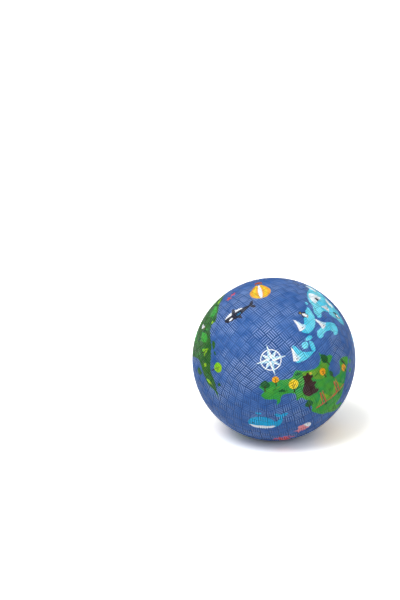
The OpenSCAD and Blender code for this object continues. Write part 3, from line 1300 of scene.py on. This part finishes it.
def ink_material(name, colour, drift):
    """Printed rubber: brushed patches of two tones, painted shade in the rougher grooves, and rib
    tops with painted light, painted glints and real scuffs.
    """
    material, tree, shader = new_material("ink_" + name)
    where = node(tree, "TexCoord", {}, "Object")
    height = node(tree, "Attribute", {}, "Fac", attribute_name="rib_height")
    patches = noise(tree, where, PATCH_SIZE, detail=3.0, roughness=0.6)
    brushed = node(tree, "VectorMath", {0: where, 1: BRUSH_STRETCH}, operation="MULTIPLY")
    strokes = noise(tree, brushed, STROKE_SIZE, detail=4.0, roughness=0.65)
    both = maths(tree, "ADD", patches, maths(tree, "MULTIPLY", strokes, STROKE_SHARE))
    tone = ramp(tree, both, *TONE_RANGE, 0, 1)
    painted = blended(tree, tone, linear(colour), linear(drift))

    # Painted shade in the grooves and painted light on the rib tops, stronger in noise patches
    shifted = node(tree, "VectorMath", {0: where, 1: PAINTED_LIGHT_PATCH_SHIFT}, operation="ADD")
    painted_light_patches = noise(tree, shifted, PAINTED_LIGHT_PATCH_SIZE)
    bounced = BOUNCE * min(colour) ** 2
    painted_groove_shades = [painted_shade + (1 - painted_shade) * bounced for painted_shade in PAINTED_GROOVE_SHADE]
    groove = ramp(tree, painted_light_patches, *PAINTED_LIGHT_PATCH_RANGE, *painted_groove_shades)
    painted_crest_light = ramp(tree, painted_light_patches, *PAINTED_LIGHT_PATCH_RANGE, *PAINTED_CREST_LIGHT)
    # The painted shade goes from the groove's to the rib top's with the rib height
    painted_shade = ramp(tree, height, *FLANK_RANGE, groove, painted_crest_light)
    painted = blended(tree, 1.0, painted, painted_shade, "MULTIPLY")

    # Painted glints on the rib tops where the painted shade is strong, and real scuffs, both in one
    # pale tone
    on_top = ramp(tree, height, *TOP_RANGE, 0, 1)
    glint_and_wear_share = 1 if name == "sea" else MOTIF_GLINT_AND_WEAR
    painted_glint = ramp(tree, painted_light_patches, *PAINTED_LIGHT_PATCH_RANGE, PAINTED_GLINT * glint_and_wear_share, 0)
    rubbed = noise(tree, where, SCUFF_SIZE, detail=5.0, roughness=0.75)
    scuffs = ramp(tree, rubbed, *SCUFF_RANGE, 0, WEAR * glint_and_wear_share)
    glint_and_wear = maths(tree, "MULTIPLY", on_top, maths(tree, "ADD", painted_glint, scuffs))
    painted = blended(tree, glint_and_wear, painted, linear(SCUFF_AND_GLINT))
    feed(tree, shader.inputs["Base Color"], painted)

    roughness = ramp(tree, maths(tree, "ADD", patches, scuffs), 0.3, 0.8, *INK_ROUGHNESS)
    in_groove = ramp(tree, height, *GROOVE_RANGE, GROOVE_ROUGHNESS, 0)
    feed(tree, shader.inputs["Roughness"], maths(tree, "ADD", roughness, in_groove))
    add_grain(tree, shader, where, *INK_GRAIN)
    shader.inputs["Specular IOR Level"].default_value = INK_SHINE
    return material


def plain_rubber(name, colour, drift):
    """Unprinted moulded rubber: faint mottling, dust in patches and a fine moulded grain."""
    material, tree, shader = new_material(name)
    where = node(tree, "TexCoord", {}, "Object")
    mottle = noise(tree, where, MOTTLE_SIZE, detail=4.0, roughness=0.6)
    base = blended(tree, ramp(tree, mottle, 0.35, 0.65, 0, 1), linear(colour), linear(drift))
    specks = noise(tree, where, DUST_SIZE, detail=3.0)
    base = blended(tree, ramp(tree, specks, 0.55, 0.75, 0, DUST_SHARE), base, linear(DUST))
    feed(tree, shader.inputs["Base Color"], base)
    feed(tree, shader.inputs["Roughness"], ramp(tree, mottle, 0.3, 0.7, *RUBBER_ROUGHNESS))
    add_grain(tree, shader, where, *RUBBER_GRAIN)
    shader.inputs["Specular IOR Level"].default_value = RUBBER_SHINE
    return material


def add_object(name, mesh):
    """A new object of that mesh, in the scene."""
    made = bpy.data.objects.new(name, mesh)
    bpy.context.scene.collection.objects.link(made)
    return made


# ---------------------------------------------------------------- stage, lights and camera

# The camera looks from the front, and past the ball by these metres to its left and above it
VIEW_ELEVATION = 20
VIEW_DISTANCE = 3.0
LENS_MM = 231.4
SENSOR_MM = 36
AIM_LEFT = 0.0578
AIM_UP = 0.0456
FLOOR_SIZE = 40
# The floor's tone for the light that it gives back, and as the camera sees it
FLOOR_TONE = (0.75, 0.75, 0.75, 1)
FLOOR_SEEN = (1.80, 1.81, 1.76, 1)
# The studio's light at the horizon and overhead, and the heights between which it changes
SKY_LOW = 0.30
SKY_HIGH = 0.25
SKY_RANGE = (0.05, 0.4)
# Each lamp's direction, strength and width in degrees
SOFTBOX = ((0.0, -0.60, 0.80), 1.55, 85)
KEY = ((-0.34, -0.44, 0.83), 1.36, 30)


def add_floor():
    """A wide white floor, brighter to the camera than the light that it gives back."""
    mesh = bpy.data.meshes.new("floor")
    half = FLOOR_SIZE / 2
    corners = [(-half, -half, 0), (half, -half, 0), (half, half, 0), (-half, half, 0)]
    mesh.from_pydata(corners, [], [(0, 1, 2, 3)])
    floor = add_object("floor", mesh)
    material, tree, shader = new_material("floor_white")
    tree.nodes.remove(shader)
    seen = node(tree, "LightPath", {}, "Is Camera Ray")
    tone = blended(tree, seen, FLOOR_TONE, FLOOR_SEEN)
    matt = node(tree, "BsdfDiffuse", {"Color": tone})
    tree.links.new(matt, tree.nodes["Material Output"].inputs["Surface"])
    mesh.materials.append(material)


def add_sun(name, towards, strength, angle):
    """Even light from the direction towards, as wide as the angle makes it."""
    light = bpy.data.lights.new(name, "SUN")
    light.energy = strength
    light.angle = math.radians(angle)
    lamp = bpy.data.objects.new(name, light)
    lamp.rotation_euler = Vector(towards).to_track_quat("Z", "Y").to_euler()
    bpy.context.scene.collection.objects.link(lamp)


def add_world():
    """A pale studio: white round the horizon, dimmer overhead."""
    world = bpy.data.worlds.new("studio")
    world.use_nodes = True
    tree = world.node_tree
    direction = node(tree, "TexCoord", {}, "Generated")
    height = node(tree, "SeparateXYZ", {0: direction}, 2)
    back = tree.nodes["Background"]
    back.inputs["Color"].default_value = (1, 1, 1, 1)
    feed(tree, back.inputs["Strength"], ramp(tree, height, *SKY_RANGE, SKY_LOW, SKY_HIGH))
    bpy.context.scene.world = world


def add_camera():
    """The scene's camera."""
    elevation = math.radians(VIEW_ELEVATION)
    towards = Vector((0, -math.cos(elevation), math.sin(elevation)))
    up = Vector((0, math.sin(elevation), math.cos(elevation)))
    camera = bpy.data.cameras.new("camera")
    camera.lens = LENS_MM
    camera.sensor_width = SENSOR_MM
    camera.clip_end = 50
    viewer = bpy.data.objects.new("camera", camera)
    viewer.location = Vector(CENTRE) + towards * VIEW_DISTANCE
    aim = Vector(CENTRE) + Vector((-AIM_LEFT, 0, 0)) + up * AIM_UP
    viewer.rotation_euler = (viewer.location - aim).to_track_quat("Z", "Y").to_euler()
    bpy.context.scene.collection.objects.link(viewer)
    bpy.context.scene.camera = viewer


add_camera()
add_floor()
add_world()
add_sun("softbox", *SOFTBOX)
add_sun("key", *KEY)
bpy.context.scene.view_settings.view_transform = "Standard"

wall = wall_object("textured_wall")
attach(wall, "root")
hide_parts("ball_wall")
add_valve()
for patch_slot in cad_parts["valve_patch"].material_slots:
    patch_slot.material = plain_rubber("patch_rubber", *PATCH)
